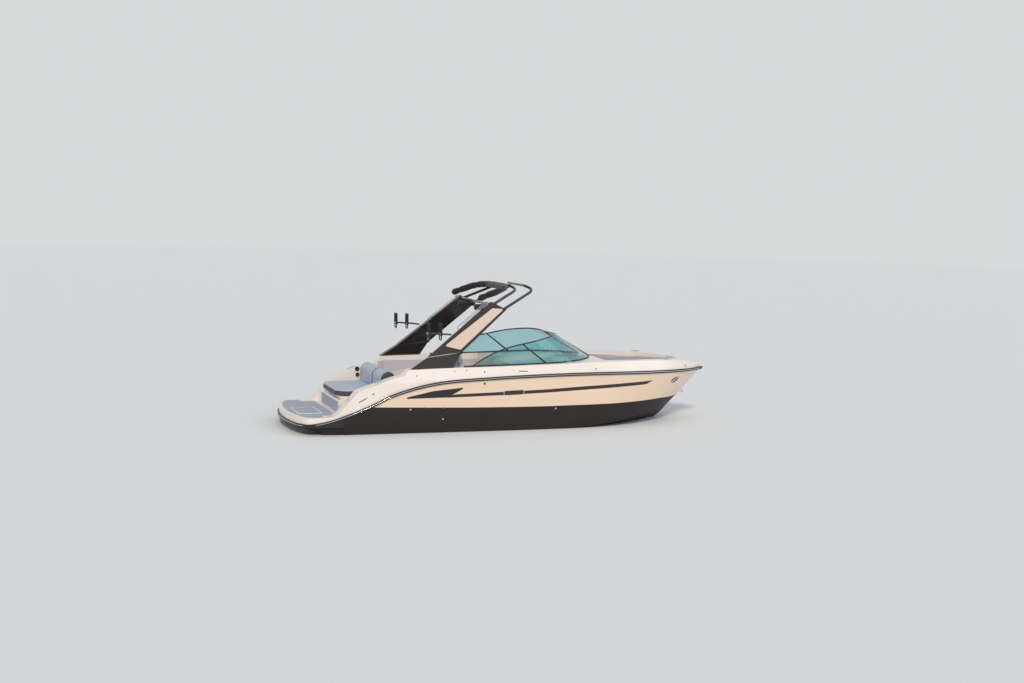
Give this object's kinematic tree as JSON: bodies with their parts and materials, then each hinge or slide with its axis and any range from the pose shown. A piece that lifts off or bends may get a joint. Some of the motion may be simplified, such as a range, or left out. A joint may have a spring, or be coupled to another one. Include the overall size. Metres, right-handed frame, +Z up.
{
  "type": "bowrider speedboat",
  "caption": "Open-bow sport boat with folding tower, wrap windshield, aft sunpad over the engine, swim platform and a contra-rotating sterndrive.",
  "frame": {"origin": "on the centreline at the waterline, amidships", "axes": "+X towards the bow, +Y to port, +Z up"},
  "size_m": [8.4137, 2.6396, 3.605],
  "materials": {
    "gelcoat_side": "gloss",
    "gelcoat_white": "gloss",
    "liner_white": "satin",
    "black_rubber": "matt",
    "foam_grey": "matt",
    "tower_black": "gloss",
    "tower_beige": "gloss",
    "stainless": "polished",
    "aluminium_black": "satin",
    "tinted_glass": "clear",
    "canvas_black": "matt",
    "vinyl_light": "satin",
    "vinyl_dark": "satin",
    "drive_grey": "satin",
    "propeller_steel": "polished",
    "engine_black": "matt",
    "lamp_clear": "clear",
    "plastic_black": "matt"
  },
  "bodies": {
    "boat": {"aft_moulding": "gelcoat_white", "backrest_port": "vinyl_light", "backrest_starboard": "vinyl_light", "bench_cushion": "vinyl_light", "bow_backrest_port": "vinyl_light", "bow_backrest_starboard": "vinyl_light", "bow_cushion": "vinyl_light", "bow_eye": "stainless", "bow_light": "lamp_clear", "bow_seat_base": "liner_white", "bow_side_pads": "vinyl_light", "cleats": "stainless", "cockpit_liner": "liner_white", "console_port": "liner_white", "console_starboard": "liner_white", "deck": "gelcoat_white", "docking_lights": "lamp_clear", "door_hinge": "stainless", "drive_shield": "drive_grey", "engine": "engine_black", "glass_centre": "tinted_glass", "glass_front_port": "tinted_glass", "glass_front_starboard": "tinted_glass", "glass_side_port": "tinted_glass", "glass_side_starboard": "tinted_glass", "helm_pedestal": "stainless", "helm_seat": "vinyl_light", "hull": "gelcoat_side", "lounge_cushion": "vinyl_light", "platform_pad": "foam_grey", "rub_rail": "black_rubber", "seat_base": "liner_white", "side_vents": "plastic_black", "steering_wheel": "plastic_black", "step_pads": "foam_grey", "swim_platform": "gelcoat_white", "thru_hulls": "stainless", "tower_foot_port": "tower_black", "tower_foot_starboard": "tower_black", "windshield_frame": "aluminium_black"},
    "tower": {"tower_leg_starboard": "tower_black", "tower_leg_port": "tower_black", "tower_insert_starboard": "tower_beige", "tower_insert_port": "tower_beige", "tower_hoop": "tower_black", "sun_top_boot": "canvas_black", "leg_rods": "stainless", "board_racks": "tower_black", "tower_speakers": "plastic_black", "top_light": "lamp_clear"},
    "gimbal": {"gimbal_ring": "drive_grey"},
    "drive": {"drive_leg": "drive_grey"},
    "propeller_front": {"propeller_front": "propeller_steel"},
    "propeller_rear": {"propeller_rear": "propeller_steel"},
    "hatch": {"engine_hatch": "gelcoat_white", "sunpad": "vinyl_light"},
    "bow_door": {"bow_door": "gelcoat_white"},
    "anchor_lid": {"anchor_lid": "gelcoat_white"},
    "ladder_lid": {"ladder_lid": "gelcoat_white"}
  },
  "joints": [
    {"name": "tower_fold", "type": "hinge", "parent": "boat", "child": "tower", "pos_m": [-1.4, 0, 1.442], "axis": [0, 1, 0], "range_deg": [0, 25]},
    {"name": "drive_steer", "type": "hinge", "parent": "boat", "child": "gimbal", "pos_m": [-3.7, 0, -0.15], "axis": [0, 0, 1], "range_deg": [-28, 28]},
    {"name": "drive_trim", "type": "hinge", "parent": "gimbal", "child": "drive", "pos_m": [-3.7, 0, -0.15], "axis": [0, 1, 0], "range_deg": [0, 45]},
    {"name": "propeller_front_spin", "type": "hinge", "parent": "drive", "child": "propeller_front", "pos_m": [-4.075, 0, -0.59], "axis": [1, 0, 0], "continuous": true},
    {"name": "propeller_rear_spin", "type": "hinge", "parent": "drive", "child": "propeller_rear", "pos_m": [-4.175, 0, -0.59], "axis": [1, 0, 0], "continuous": true},
    {"name": "engine_hatch_lift", "type": "hinge", "parent": "boat", "child": "hatch", "pos_m": [-3.5, 0, 0.6], "axis": [0, -1, 0], "range_deg": [0, 50]},
    {"name": "bow_door_swing", "type": "hinge", "parent": "boat", "child": "bow_door", "pos_m": [1.4, 0.25, 0.68], "axis": [0, 0, -1], "range_deg": [0, 88]},
    {"name": "anchor_lid_lift", "type": "hinge", "parent": "boat", "child": "anchor_lid", "pos_m": [3.41, 0, 1.178], "axis": [0, -1, 0], "range_deg": [0, 85]},
    {"name": "ladder_lid_lift", "type": "hinge", "parent": "boat", "child": "ladder_lid", "pos_m": [-3.828, -0.255, 0.334], "axis": [0, 1, 0], "range_deg": [0, 95]}
  ],
  "couplings": [
    {"joint": "propeller_rear_spin", "follows": "propeller_front_spin", "ratio": -1}
  ]
}
